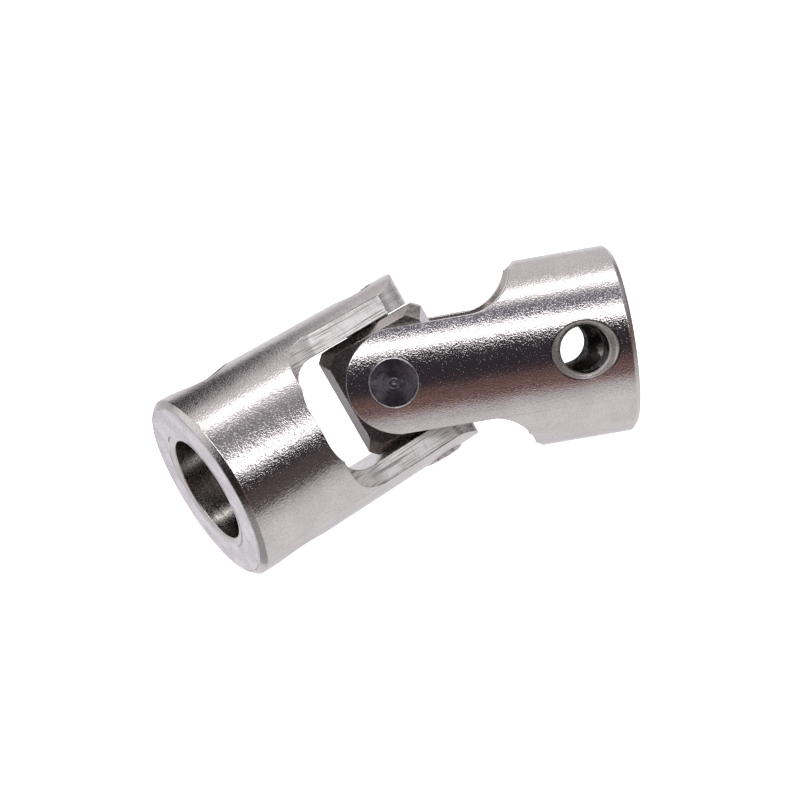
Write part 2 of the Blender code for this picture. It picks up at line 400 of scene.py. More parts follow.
def build_yoke():
    c = END_CHAMFER
    blank = outward(turned_mesh("blank", [
        (SINK_R, HALF_LEN), (OUTER_R - c, HALF_LEN), (OUTER_R, HALF_LEN - c),
        (OUTER_R, -3.0), (BORE_R, -3.0), (BORE_R, HALF_LEN - SINK_DEPTH)], 256))
    half = 0.5 * ARM_W
    start = math.degrees(math.acos(half / TIP_R))
    plan = arc(0.0, TIP_SHIFT, TIP_R, 180.0 + start, 360.0 - start, 64)
    side = half + FLAT_FILLET_R
    right = arc(side, FLAT_END, FLAT_FILLET_R, 180.0, 90.0, 32)
    right += [(9.0, FLAT_END + FLAT_FILLET_R), (9.0, 13.0)]
    plan = plan + right + [(-x, z) for x, z in reversed(right)]
    plan = prism_mesh("plan", plan, -6.0, 6.0, (2, 0, 1))
    x0 = 0.5 * SLOT_W - SLOT_CORNER_R
    z0 = SLOT_BASE - SLOT_CORNER_R
    slot = [(0.5 * SLOT_W, -6.0)] + arc(x0, z0, SLOT_CORNER_R, 0.0, 90.0, 32)
    slot += arc(-x0, z0, SLOT_CORNER_R, 90.0, 180.0, 32) + [(-0.5 * SLOT_W, -6.0)]
    slot = prism_mesh("slot", slot, -6.0, 6.0, (0, 2, 1))
    pin_hole = outward(turned_mesh("pin_hole", [
        (0.0, 6.0), (PIN_R + PIN_GAP, 6.0), (PIN_R + PIN_GAP, -6.0), (0.0, -6.0)],
        96, axis="X"))
    mesh = tidy(cut(blank, [("INTERSECT", plan), ("DIFFERENCE", slot)]))
    mesh = soften(mesh, 0.04)
    mesh = cut(mesh, [("DIFFERENCE", pin_hole), ("DIFFERENCE", threaded_hole())])
    bm = bmesh.new()
    bm.from_mesh(mesh)
    bmesh.ops.remove_doubles(bm, verts=bm.verts, dist=1e-8)
    bm.to_mesh(mesh)
    bm.free()
    mesh.name = "yoke_fine"
    print("yoke regions", shade_yoke(mesh), len(mesh.polygons))
    return mesh


# ---------------------------------------------------------------- the block
def build_block():
    h, hl, c = 0.5 * (BLOCK_W + 0.16), 0.5 * BLOCK_L, BLOCK_CHAMFER
    outline = [(h - c, -h), (h, -h + c), (h, h - c), (h - c, h),
               (-h + c, h), (-h, h - c), (-h, -h + c), (-h + c, -h)]
    body = prism_mesh("body", outline, -hl, hl, (0, 1, 2))
    across = [(h, -hl + c), (h, hl - c), (h - c, hl), (-h + c, hl),
              (-h, hl - c), (-h, -hl + c), (-h + c, -hl), (h - c, -hl)]
    trim_x = prism_mesh("trim_x", across, -4.0, 4.0, (0, 2, 1))
    trim_y = prism_mesh("trim_y", across, -4.0, 4.0, (2, 0, 1))
    lean = math.tan(math.radians(30.0))
    r0 = 3.0
    turn = outward(turned_mesh("turn", [
        (0.0, hl + 0.001), (r0, hl + 0.001), (4.4, hl - (4.4 - r0) * lean),
        (4.4, -hl + (4.4 - r0) * lean), (r0, -hl - 0.001), (0.0, -hl - 0.001)], 160))
    r = PIN_R + 0.04
    sink = 0.12
    long_hole = outward(turned_mesh("long_hole", [
        (0.0, 3.4), (r + sink + 0.75, 3.4), (r, h - sink), (r, -h + sink),
        (r + sink + 0.75, -3.4), (0.0, -3.4)], 96, axis="X"))
    short_hole = outward(turned_mesh("short_hole", [
        (0.0, 3.4), (r + sink + 0.70, 3.4), (r, hl - sink), (r, -hl + sink),
        (r + sink + 0.70, -3.4), (0.0, -3.4)], 96))
    mesh = cut(body, [("INTERSECT", trim_x), ("INTERSECT", trim_y),
                      ("INTERSECT", turn), ("DIFFERENCE", long_hole),
                      ("DIFFERENCE", short_hole)])
    mesh = soften(tidy(mesh), 0.035, angle=32.0)
    mesh.shade_smooth()
    mesh.set_sharp_from_angle(angle=math.radians(16.0))
    for face in mesh.polygons:
        c0 = face.center / MM
        in_hole = math.hypot(c0.y, c0.z) < r + 0.15 or math.hypot(c0.x, c0.y) < r + 0.15
        parts = sorted(abs(a) for a in face.normal)
        chamfer = parts[0] < 0.12 and 0.30 < parts[1] and parts[2] < 0.955
        chamfer = chamfer and abs(face.normal.x) < 0.12
        face.material_index = 1 if chamfer and not in_hole else 0
    mesh.name = "block_fine"
    return mesh


# ----------------------------------------------------------------- the pins
def faced_end(z, sign):
    """Profile of a faced pin end, axis outward: centre pip, ring and grooves."""
    pts = []
    steps = 150
    top = PIN_R - 0.06
    for i in range(steps + 1):
        r = top * i / steps
        groove = 0.0009 * math.sin(2.0 * math.pi * r / 0.060)
        groove += 0.0006 * math.sin(2.0 * math.pi * r / 0.017 + 1.3)
        dip = -0.030 * max(0.0, 1.0 - (r / 0.09) ** 2)
        ring = -0.008 * math.exp(-((r - 0.235) / 0.022) ** 2)
        lip = 0.005 * math.exp(-((r - 0.15) / 0.035) ** 2)
        dish = -0.012 * (1.0 - (r / top) ** 2)
        pts.append((r, z + sign * (groove + dip + ring + lip + dish)))
    return pts


def build_pin(name, z0, z1):
    e = 0.05
    high = faced_end(z1, 1.0)
    low = faced_end(z0, -1.0)
    profile = high + [(PIN_R - 0.010, z1 - 0.020), (PIN_R, z1 - e)]
    if z0 < -PIN_END:
        profile.append((PIN_R, z0 + 0.40))
    profile += [(PIN_R, z0 + e), (PIN_R - 0.010, z0 + 0.020)] + low[::-1]
    mesh = outward(turned_mesh(name, profile, 128))
    # faces of material 2 (pin_rim) are painted highlight: the end chamfers, and the side of the long
    # pin's proud lower end
    for face in mesh.polygons:
        across = math.hypot(face.center.x, face.center.y)
        if abs(face.normal.z) > 0.5 and across < (PIN_R - 0.045) * MM:
            face.material_index = 1
        elif abs(face.normal.z) > 0.25 or face.center.z < -(PIN_END - 0.3) * MM:
            face.material_index = 2
    mesh.shade_smooth()
    mesh.set_sharp_from_angle(angle=math.radians(30.0))
    return mesh


# ---------------------------------------------------------------- materials
class Nodes:
    """Small helper that lays out a node tree."""

    def __init__(self, name):
        self.mat = bpy.data.materials.new(name)
        self.mat.use_nodes = True
        self.tree = self.mat.node_tree
        self.bsdf = self.tree.nodes["Principled BSDF"]
        self.coord = self.tree.nodes.new("ShaderNodeTexCoord")
        self.split = self.tree.nodes.new("ShaderNodeSeparateXYZ")
        self.tree.links.new(self.coord.outputs["Object"], self.split.inputs[0])

    def link(self, a, b):
        self.tree.links.new(a, b)

    def set(self, **values):
        for name, value in values.items():
            socket = self.bsdf.inputs[name.replace("_", " ")]
            socket.default_value = value

    def math(self, op, a, b=None, c=None, clamp=False):
        node = self.tree.nodes.new("ShaderNodeMath")
        node.operation = op
        node.use_clamp = clamp
        for socket, value in zip(node.inputs, (a, b, c)):
            if value is None:
                continue
            if isinstance(value, (int, float)):
                socket.default_value = value
            else:
                self.link(value, socket)
        return node.outputs[0]

    def scaled(self, sx, sy, sz):
        node = self.tree.nodes.new("ShaderNodeMapping")
        node.inputs["Scale"].default_value = (sx, sy, sz)
        self.link(self.coord.outputs["Object"], node.inputs["Vector"])
        return node.outputs[0]

    def combine(self, x, y, z):
        node = self.tree.nodes.new("ShaderNodeCombineXYZ")
        for socket, value in zip(node.inputs, (x, y, z)):
            if isinstance(value, (int, float)):
                socket.default_value = value
            else:
                self.link(value, socket)
        return node.outputs[0]

    def noise(self, vector, scale=1.0, detail=2.0, rough=0.5, distortion=0.0):
        node = self.tree.nodes.new("ShaderNodeTexNoise")
        node.inputs["Scale"].default_value = scale
        node.inputs["Detail"].default_value = detail
        node.inputs["Roughness"].default_value = rough
        node.inputs["Distortion"].default_value = distortion
        self.link(vector, node.inputs["Vector"])
        return node.outputs["Fac"]

    def voronoi(self, vector, scale, feature="F1"):
        node = self.tree.nodes.new("ShaderNodeTexVoronoi")
        node.feature = feature
        node.inputs["Scale"].default_value = scale
        self.link(vector, node.inputs["Vector"])
        return node.outputs["Distance"]

    def ramp(self, value, stops):
        node = self.tree.nodes.new("ShaderNodeValToRGB")
        elements = node.color_ramp.elements
        while len(elements) < len(stops):
            elements.new(0.5)
        for element, (place, color) in zip(elements, stops):
            element.position = place
            element.color = (*color, 1.0) if isinstance(color, tuple) else (
                color, color, color, 1.0)
        self.link(value, node.inputs["Fac"])
        return node.outputs["Color"]

    def between(self, value, low, high, out_low=0.0, out_high=1.0, smooth=True):
        node = self.tree.nodes.new("ShaderNodeMapRange")
        node.interpolation_type = "SMOOTHSTEP" if smooth else "LINEAR"
        for name, v in (("From Min", low), ("From Max", high),
                        ("To Min", out_low), ("To Max", out_high)):
            node.inputs[name].default_value = v
        self.link(value, node.inputs["Value"])
        return node.outputs["Result"]

    def mix(self, factor, a, b):
        node = self.tree.nodes.new("ShaderNodeMix")
        node.data_type = "RGBA"
        for socket, value in ((node.inputs[0], factor), (node.inputs[6], a),
                              (node.inputs[7], b)):
            if isinstance(value, tuple):
                socket.default_value = (*value, 1.0)
            elif isinstance(value, (int, float)):
                socket.default_value = value
            else:
                self.link(value, socket)
        return node.outputs[2]

    def bump(self, height, distance, strength=1.0, normal=None):
        node = self.tree.nodes.new("ShaderNodeBump")
        node.inputs["Distance"].default_value = distance
        node.inputs["Strength"].default_value = strength
        self.link(height, node.inputs["Height"])
        if normal is not None:
            self.link(normal, node.inputs["Normal"])
        return node.outputs["Normal"]


def pits(n, scale, low=0.10, high=0.24, spread=0.56):
    """Sparse small pits: 1 in a pit, 0 elsewhere."""
    cell = n.voronoi(n.scaled(1, 1, 1), scale)
    hole = n.between(cell, low, high, 1.0, 0.0)
    where = n.between(n.noise(n.scaled(1, 1, 1), scale * 0.37, 1.0), spread, spread + 0.05)
    return n.math("MULTIPLY", hole, where)


def scratches(n, angle, scale, stretch, low=0.70, high=0.76):
    """Thin short scratches in one direction."""
    node = n.tree.nodes.new("ShaderNodeMapping")
    node.inputs["Rotation"].default_value = angle
    node.inputs["Scale"].default_value = (scale, scale * stretch, scale * stretch)
    n.link(n.coord.outputs["Object"], node.inputs["Vector"])
    return n.between(n.noise(node.outputs[0], 1.0, 1.0, 0.4, 0.6), low, high)


def polished():
    """Bright plated turned surface, a fine grain all over."""
    n = Nodes("plated_polished")
    n.set(Metallic=1.0, Specular_IOR_Level=0.5)
    pos = n.scaled(1, 1, 1)
    grain = n.noise(pos, 8500.0, 2.0, 0.7)
    fine = n.between(n.noise(pos, 14500.0, 1.0, 0.6), 0.42, 0.74)
    broad = n.noise(pos, 900.0, 2.0, 0.55)
    pit = pits(n, 5200.0, 0.08, 0.20, 0.63)
    speck = n.between(n.noise(pos, 12000.0, 1.0, 0.6), 0.38, 0.62)
    scratch = scratches(n, (0.3, 0.5, 0.2), 700.0, 22.0)
    tone = n.mix(n.between(broad, 0.35, 0.65), (0.665, 0.622, 0.618), (0.615, 0.573, 0.568))
    tone = n.mix(n.math("MULTIPLY", speck, 0.34), tone, (0.45, 0.42, 0.43))
    tone = n.mix(n.math("MULTIPLY", pit, 0.55), tone, (0.33, 0.29, 0.28))
    # painted shade: a thin, patchy, near-black line drawn on the outer surface round the set screw
    # countersink, standing in for the dark edge of the hole
    x, y = n.split.outputs[0], n.split.outputs[1]
    z = n.math("SUBTRACT", n.split.outputs[2], HOLE_Z * MM)
    radius = n.math("SQRT", n.math("ADD", n.math("MULTIPLY", y, y), n.math("MULTIPLY", z, z)))
    sink_outline_shade = n.math("SUBTRACT", radius, n.math("ABSOLUTE", x))
    sink_outline_shade = n.math("ADD", sink_outline_shade, (OUTER_R - HOLE_SINK_R) * MM)
    sink_outline_shade = n.math("ADD", sink_outline_shade, n.math("MULTIPLY", grain, 2.0e-5))
    sink_outline_shade = n.between(sink_outline_shade, 0.000035, 0.000060, 1.0, 0.0)
    sink_outline_shade = n.math("MULTIPLY", sink_outline_shade, n.between(n.noise(pos, 1300.0, 1.0), 0.34, 0.50))
    sink_outline_shade = n.math("MULTIPLY", sink_outline_shade, n.between(radius, 1.75 * MM, 1.80 * MM, 1.0, 0.0))
    tone = n.mix(n.math("MULTIPLY", sink_outline_shade, 0.85), tone, (0.05, 0.035, 0.035))
    n.link(tone, n.bsdf.inputs["Base Color"])
    rough = n.between(broad, 0.30, 0.70, 0.10, 0.14)
    rough = n.math("ADD", rough, n.math("MULTIPLY", grain, 0.05))
    rough = n.math("ADD", rough, n.math("MULTIPLY", pit, 0.10), clamp=True)
    n.link(rough, n.bsdf.inputs["Roughness"])
    height = n.math("ADD", grain, n.math("MULTIPLY", scratch, -0.6))
    height = n.math("ADD", height, n.math("MULTIPLY", fine, 0.75))
    height = n.math("ADD", height, n.math("MULTIPLY", pit, -0.15))
    normal = n.bump(height, 0.42e-5)
    n.link(n.bump(broad, 9e-6, 1.0, normal), n.bsdf.inputs["Normal"])
    return n.mat


def milled():
    """Side flats: lines left by the cutter, all along the arm."""
    n = Nodes("plated_milled")
    n.set(Metallic=0.62)
    lines = n.noise(n.scaled(15000.0, 420.0, 420.0), 1.0, 1.0, 0.6)
    coarse = n.noise(n.scaled(3600.0, 60.0, 60.0), 1.0, 1.0, 0.5)
    grain = n.noise(n.scaled(1, 1, 1), 9000.0, 2.0, 0.6)
    marks = n.noise(n.scaled(1500.0, 9000.0, 9000.0), 1.0, 1.0, 0.5, 0.8)
    marks = n.between(marks, 0.56, 0.66)
    # painted light: most of the flat gets a pale, part non-metal colour that keeps it bright where it
    # mirrors the other arm's dark underside; the thin dark lines are the cutter's marks
    tone = n.mix(n.between(lines, 0.34, 0.50), (0.36, 0.33, 0.31), (0.95, 0.925, 0.92))
    tone = n.mix(n.math("MULTIPLY", marks, 0.45), tone, (0.60, 0.565, 0.54))
    n.link(tone, n.bsdf.inputs["Base Color"])
    n.link(n.between(grain, 0.3, 0.7, 0.30, 0.42), n.bsdf.inputs["Roughness"])
    height = n.math("ADD", lines, n.math("MULTIPLY", coarse, 0.5))
    height = n.math("ADD", height, n.math("MULTIPLY", grain, 0.35))
    height = n.math("ADD", height, n.math("MULTIPLY", marks, -0.5))
    n.link(n.bump(height, 5.0e-6), n.bsdf.inputs["Normal"])
    return n.mat


def slotted():
    """Walls of the gap between the arms."""
    n = Nodes("plated_slot")
    n.set(Metallic=1.0)
    lines = n.noise(n.scaled(700.0, 260.0, 11000.0), 1.0, 2.0, 0.6)
    grain = n.noise(n.scaled(1, 1, 1), 8000.0, 2.0, 0.6)
    tone = n.mix(lines, (0.60, 0.56, 0.55), (0.70, 0.66, 0.65))
    n.link(tone, n.bsdf.inputs["Base Color"])
    n.link(n.between(grain, 0.3, 0.7, 0.20, 0.32), n.bsdf.inputs["Roughness"])
    height = n.math("ADD", lines, n.math("MULTIPLY", grain, 0.4))
    n.link(n.bump(height, 2.4e-6), n.bsdf.inputs["Normal"])
    return n.mat


def bored():
    """Bore wall: rings left by the boring tool, on colours set darker than the outside plating as
    painted shade for the bore.
    """
    n = Nodes("plated_bore")
    n.set(Metallic=1.0)
    rings = n.noise(n.scaled(240.0, 240.0, 10000.0), 1.0, 3.0, 0.65)
    broad = n.noise(n.scaled(260.0, 260.0, 2600.0), 1.0, 1.0, 0.5)
    grain = n.noise(n.scaled(1, 1, 1), 8500.0, 2.0, 0.6)
    tone = n.mix(n.between(rings, 0.3, 0.7), (0.33, 0.30, 0.275), (0.58, 0.54, 0.505))
    # painted shade: round the set screw hole the bore wall turns near black in patches, standing in
    # for the shade seen through that hole
    y = n.split.outputs[1]
    z = n.math("SUBTRACT", n.split.outputs[2], HOLE_Z * MM)
    radius = n.math("SQRT", n.math("ADD", n.math("MULTIPLY", y, y),
                                   n.math("MULTIPLY", z, z)))
    near = n.math("MULTIPLY", n.between(radius, 0.0019, 0.0024, 1.0, 0.0),
                  n.between(n.math("ABSOLUTE", n.split.outputs[0]), 0.0012, 0.0018))
    shade_patches = n.between(n.noise(n.scaled(1, 1, 1), 800.0, 3.0, 0.6), 0.50, 0.58)
    bore_shade_near_hole = n.mix(shade_patches, (0.035, 0.030, 0.028), (0.20, 0.185, 0.18))
    tone = n.mix(near, tone, bore_shade_near_hole)
    n.link(tone, n.bsdf.inputs["Base Color"])
    n.link(n.between(grain, 0.3, 0.7, 0.20, 0.36), n.bsdf.inputs["Roughness"])
    height = n.math("ADD", rings, n.math("MULTIPLY", broad, 0.5))
    height = n.math("ADD", height, n.math("MULTIPLY", grain, 0.15))
    n.link(n.bump(height, 8.0e-6), n.bsdf.inputs["Normal"])
    return n.mat


def faced():
    """End face: satin, with pits and stray scratches."""
    n = Nodes("plated_end_face")
    n.set(Metallic=1.0)
    pos = n.scaled(1, 1, 1)
    grain = n.noise(pos, 8000.0, 3.0, 0.65)
    broad = n.noise(pos, 1100.0, 2.0, 0.5)
    pit = pits(n, 5600.0, 0.10, 0.28, 0.52)
    scratch_a = scratches(n, (0.0, 0.0, 0.9), 500.0, 20.0, 0.66, 0.72)
    scratch_b = scratches(n, (0.0, 0.0, -0.5), 420.0, 24.0, 0.68, 0.74)
    x = n.split.outputs[0]
    y = n.split.outputs[1]
    radius = n.math("SQRT", n.math("ADD", n.math("MULTIPLY", x, x),
                                   n.math("MULTIPLY", y, y)))
    rings = n.noise(n.combine(n.math("MULTIPLY", radius, 9000.0), 0.0, 0.0), 1.0, 2.0)
    tone = n.mix(n.between(broad, 0.35, 0.65), (0.80, 0.755, 0.80), (0.64, 0.59, 0.65))
    tone = n.mix(n.math("MULTIPLY", pit, 0.38), tone, (0.36, 0.31, 0.31))
    tone = n.mix(n.between(grain, 0.42, 0.60, 0.0, 0.35), tone, (0.60, 0.55, 0.60))
    wobble = n.math("ADD", radius, n.math("MULTIPLY", n.noise(pos, 2500.0, 2.0), 4.0e-5))
    patchy = n.between(n.noise(pos, 700.0, 2.0), 0.40, 0.56)
    groove = n.math("MULTIPLY", n.between(wobble, 0.00284, 0.00288),
                    n.between(wobble, 0.00294, 0.00299, 1.0, 0.0))
    groove = n.math("MULTIPLY", groove, patchy)
    edge = n.math("MULTIPLY", n.between(wobble, 0.004165, 0.004215),
                  n.math("SUBTRACT", 1.15, patchy, clamp=True))
    line = n.math("MAXIMUM", groove, edge)
    tone = n.mix(n.math("MULTIPLY", line, 0.85), tone, (0.16, 0.12, 0.12))
    n.link(tone, n.bsdf.inputs["Base Color"])
    rough = n.between(grain, 0.3, 0.7, 0.24, 0.36)
    n.link(n.math("ADD", rough, n.math("MULTIPLY", pit, 0.2)), n.bsdf.inputs["Roughness"])
    height = n.math("ADD", grain, n.math("MULTIPLY", pit, -2.0))
    height = n.math("ADD", height, n.math("MULTIPLY", scratch_a, -0.9))
    height = n.math("ADD", height, n.math("MULTIPLY", scratch_b, -0.9))
    height = n.math("ADD", height, n.math("MULTIPLY", rings, 0.5))
    n.link(n.bump(height, 6.0e-6), n.bsdf.inputs["Normal"])
    return n.mat


def tapped():
    """Countersink and thread of the set screw hole: coarse rings, with painted shade deeper in the
    hole and a painted dark line round the countersink's edge.
    """
    n = Nodes("plated_tapped_hole")
    n.set(Metallic=0.55)
    y = n.split.outputs[1]
    z = n.math("SUBTRACT", n.split.outputs[2], HOLE_Z * MM)
    radius = n.math("SQRT", n.math("ADD", n.math("MULTIPLY", y, y),
                                   n.math("MULTIPLY", z, z)))
    rings = n.noise(n.combine(n.math("MULTIPLY", radius, 16000.0),
                              n.math("MULTIPLY", y, 350.0),
                              n.math("MULTIPLY", z, 350.0)), 1.0, 2.0, 0.6)
    grain = n.noise(n.scaled(1, 1, 1), 7000.0, 2.0, 0.6)
    tone = n.mix(n.between(rings, 0.3, 0.7), (0.30, 0.265, 0.25), (0.66, 0.62, 0.61))
    # painted shade: past the countersink the hole's wall turns near black in patches, standing in for
    # the shade inside the hole
    deep = n.math("ABSOLUTE", n.split.outputs[0])
    deep = n.between(deep, 0.00385, 0.00412)
    shade_patches = n.between(n.noise(n.scaled(1, 1, 1), 900.0, 3.0, 0.6), 0.54, 0.60)
    hole_interior_shade = n.mix(shade_patches, (0.018, 0.016, 0.016), (0.16, 0.15, 0.155))
    tone = n.mix(deep, hole_interior_shade, tone)
    # painted shade: a thin dark line drawn where the countersink meets the outer round surface,
    # standing in for the dark edge there
    x = n.split.outputs[0]
    crown = n.math("SQRT", n.math("ADD", n.math("MULTIPLY", x, x),
                                  n.math("MULTIPLY", y, y)))
    sink_edge_shade_line = n.between(crown, 0.004435, 0.004460)
    tone = n.mix(sink_edge_shade_line, tone, (0.10, 0.085, 0.085))
    n.link(tone, n.bsdf.inputs["Base Color"])
    n.link(n.between(grain, 0.3, 0.7, 0.24, 0.42), n.bsdf.inputs["Roughness"])
    height = n.math("ADD", rings, n.math("MULTIPLY", grain, 0.5))
    n.link(n.bump(height, 6.0e-6), n.bsdf.inputs["Normal"])
    return n.mat


def tip_metal():
    """Round ends of the arms: fine satin with a pale cast."""
    n = Nodes("plated_tip")
    n.set(Metallic=0.7)
    lines = n.noise(n.scaled(5200.0, 300.0, 300.0), 1.0, 2.0, 0.6)
    grain = n.noise(n.scaled(1, 1, 1), 9000.0, 2.0, 0.6)
    tone = n.mix(n.between(lines, 0.35, 0.65), (0.66, 0.63, 0.64), (0.84, 0.815, 0.84))
    n.link(tone, n.bsdf.inputs["Base Color"])
    n.link(n.between(grain, 0.3, 0.7, 0.22, 0.34), n.bsdf.inputs["Roughness"])
    height = n.math("ADD", n.math("MULTIPLY", lines, 0.7), grain)
    n.link(n.bump(height, 3.0e-6), n.bsdf.inputs["Normal"])
    return n.mat


def block_metal():
    n = Nodes("block_satin")
    n.set(Metallic=1.0)
    pos = n.scaled(1, 1, 1)
    grain = n.noise(pos, 8500.0, 3.0, 0.6)
    broad = n.noise(pos, 1000.0, 2.0, 0.5)
    lines = n.noise(n.scaled(260.0, 260.0, 9000.0), 1.0, 2.0, 0.6)
    tone = n.mix(n.between(broad, 0.35, 0.65), (0.52, 0.475, 0.46), (0.38, 0.34, 0.325))
    n.link(tone, n.bsdf.inputs["Base Color"])
    n.link(n.between(grain, 0.3, 0.7, 0.20, 0.34), n.bsdf.inputs["Roughness"])
    height = n.math("ADD", grain, n.math("MULTIPLY", lines, 0.8))
    n.link(n.bump(height, 3.2e-6), n.bsdf.inputs["Normal"])
    return n.mat


def block_chamfer_metal():
    """Chamfers and turned corners of the block: matt, with a pale non-metal colour that is a painted
    reflection of the bright table they face.
    """
    n = Nodes("block_chamfer")
    n.set(Metallic=0.0, Specular_IOR_Level=0.7)
    grain = n.noise(n.scaled(1, 1, 1), 9000.0, 3.0, 0.6)
    tone = n.mix(n.between(grain, 0.35, 0.65), (0.84, 0.815, 0.87), (0.94, 0.92, 0.96))
    n.link(tone, n.bsdf.inputs["Base Color"])
    n.link(n.between(grain, 0.3, 0.7, 0.34, 0.48), n.bsdf.inputs["Roughness"])
    n.link(n.bump(grain, 2.5e-6), n.bsdf.inputs["Normal"])
    return n.mat


def pin_metal():
    """Hard pin, mirror bright with a purple cast; rings on its ends."""
    n = Nodes("pin_polished")
    n.set(Metallic=1.0)
    pos = n.scaled(1, 1, 1)
    grain = n.noise(pos, 9000.0, 2.0, 0.6)
    broad = n.noise(pos, 1500.0, 2.0, 0.5)
    x = n.split.outputs[0]
    y = n.split.outputs[1]
    radius = n.math("SQRT", n.math("ADD", n.math("MULTIPLY", x, x),
                                   n.math("MULTIPLY", y, y)))
    rings = n.noise(n.combine(n.math("MULTIPLY", radius, 26000.0), 0.0, 0.0), 1.0, 2.0)
    scratch = scratches(n, (0.0, 0.0, 0.4), 900.0, 18.0, 0.66, 0.72)
    tone = n.mix(n.between(rings, 0.35, 0.65), (0.56, 0.535, 0.60), (0.44, 0.415, 0.475))
    n.link(tone, n.bsdf.inputs["Base Color"])
    n.link(n.between(broad, 0.3, 0.7, 0.15, 0.23), n.bsdf.inputs["Roughness"])
    height = n.math("ADD", n.math("MULTIPLY", rings, 1.2), n.math("MULTIPLY", grain, 0.6))
    height = n.math("ADD", height, n.math("MULTIPLY", scratch, -0.5))
    n.link(n.bump(height, 1.3e-6), n.bsdf.inputs["Normal"])
    return n.mat


def pin_end_metal():
    """Faced pin end: set darker than the pin's side as painted shade for the dark room it mirrors,
    with the wedge-shaped sheen of circular marks.
    """
    n = Nodes("pin_end_faced")
    n.set(Metallic=1.0, Anisotropic=0.85)
    x = n.split.outputs[0]
    y = n.split.outputs[1]
    radius = n.math("SQRT", n.math("ADD", n.math("MULTIPLY", x, x),
                                   n.math("MULTIPLY", y, y)))
    rings = n.noise(n.combine(n.math("MULTIPLY", radius, 17000.0), 0.0, 0.0), 1.0, 3.0, 0.6)
    blotch = n.noise(n.scaled(1, 1, 1), 2600.0, 3.0, 0.6)
    scratch = scratches(n, (0.0, 0.0, 0.4), 900.0, 18.0, 0.64, 0.70)
    scratch_b = scratches(n, (0.0, 0.0, -1.1), 1100.0, 14.0, 0.66, 0.72)
    tone = n.mix(n.between(rings, 0.35, 0.65), (0.42, 0.39, 0.46), (0.21, 0.19, 0.255))
    tone = n.mix(n.between(blotch, 0.58, 0.78, 0.0, 0.4), tone, (0.60, 0.58, 0.66))
    n.link(tone, n.bsdf.inputs["Base Color"])
    n.link(n.between(blotch, 0.3, 0.7, 0.22, 0.34), n.bsdf.inputs["Roughness"])
    tangent = n.tree.nodes.new("ShaderNodeTangent")
    tangent.direction_type = "RADIAL"
    tangent.axis = "Z"
    n.link(tangent.outputs[0], n.bsdf.inputs["Tangent"])
    height = n.math("ADD", rings, n.math("MULTIPLY", scratch, -0.5))
    height = n.math("ADD", height, n.math("MULTIPLY", scratch_b, -0.5))
    n.link(n.bump(height, 2.0e-6), n.bsdf.inputs["Normal"])
    return n.mat


def pin_rim_metal():
    """Narrow chamfer round a pin's end, painted bright: a pale, part non-metal colour as a painted
    highlight.
    """
    n = Nodes("pin_rim")
    n.set(Metallic=0.35)
    grain = n.noise(n.scaled(1, 1, 1), 5200.0, 3.0, 0.6)
    tone = n.mix(n.between(grain, 0.38, 0.60), (0.52, 0.49, 0.52), (0.93, 0.91, 0.93))
    n.link(tone, n.bsdf.inputs["Base Color"])
    n.link(n.between(grain, 0.3, 0.7, 0.25, 0.45), n.bsdf.inputs["Roughness"])
    return n.mat


# ----------------------------------------------------------------- assembly
yoke_mesh = build_yoke()
for make in (polished, milled, slotted, bored, faced, tapped, tip_metal):
    yoke_mesh.materials.append(make())

for name, matrix, body in (("yoke_a_fine", FRAME_A, "yoke_a"),
                           ("yoke_b_fine", FRAME_B, "yoke_b")):
    yoke = new_object(name, yoke_mesh)
    yoke.matrix_world = matrix
    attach(yoke, body)
    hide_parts(body)

block = new_object("cross_block_fine", build_block())
block.data.materials.append(block_metal())
block.data.materials.append(block_chamfer_metal())
block.matrix_world = FRAME_BLOCK
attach(block, "block")
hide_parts("cross_block")

pin_material = pin_metal()
pin_end_material = pin_end_metal()
pin_rim_material = pin_rim_metal()
for name, z0, z1, axis, other, body, node in (
        ("long_pin_fine", -PIN_END - PIN_PROUD, PIN_END, long_axis, short_axis, "yoke_a", "long_pin"),
        ("short_pin_front_fine", SHORT_PIN_IN, PIN_END, short_axis, long_axis,
         "yoke_b", "short_pin_front"),
        ("short_pin_rear_fine", -PIN_END, -SHORT_PIN_IN, short_axis, long_axis,
         "yoke_b", "short_pin_rear")):
    pin = new_object(name, build_pin(name, z0, z1))
    pin.data.materials.append(pin_material)
    pin.data.materials.append(pin_end_material)
    pin.data.materials.append(pin_rim_material)
    pin.matrix_world = frame_matrix(other, axis)
    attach(pin, body)
    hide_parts(node)

# -------------------------------------------------------------------- floor
floor_mesh = mesh_from("floor", [(-400, -26, 0), (400, -26, 0), (400, 500, 0), (-400, 500, 0)],
                       [(0, 1, 2, 3)])
floor = new_object("floor", floor_mesh)
floor.location.z = -0.00002
floor_look = Nodes("pale_floor")
floor_look.set(Base_Color=(0.88, 0.88, 0.885, 1.0), Roughness=0.75,
               Specular_IOR_Level=0.2, Emission_Color=(1.0, 1.0, 1.0, 1.0),
               Emission_Strength=0.97)
floor_look.link(floor_look.noise(floor_look.scaled(1, 1, 1), 400.0, 2.0),
                floor_look.tree.nodes.new("ShaderNodeBump").inputs["Height"])
floor.data.materials.append(floor_look.mat)
floor.visible_glossy = False       # the metal mirrors the softer table light below

# ------------------------------------------------------------ studio light
world = bpy.data.worlds.new("studio")
bpy.context.scene.world = world
world.use_nodes = True
wt = world.node_tree
wt.nodes.clear()


class Sky(Nodes):
    def __init__(self, tree):
        self.tree = tree
        self.coord = tree.nodes.new("ShaderNodeTexCoord")
        self.split = tree.nodes.new("ShaderNodeSeparateXYZ")
        tree.links.new(self.coord.outputs["Generated"], self.split.inputs[0])


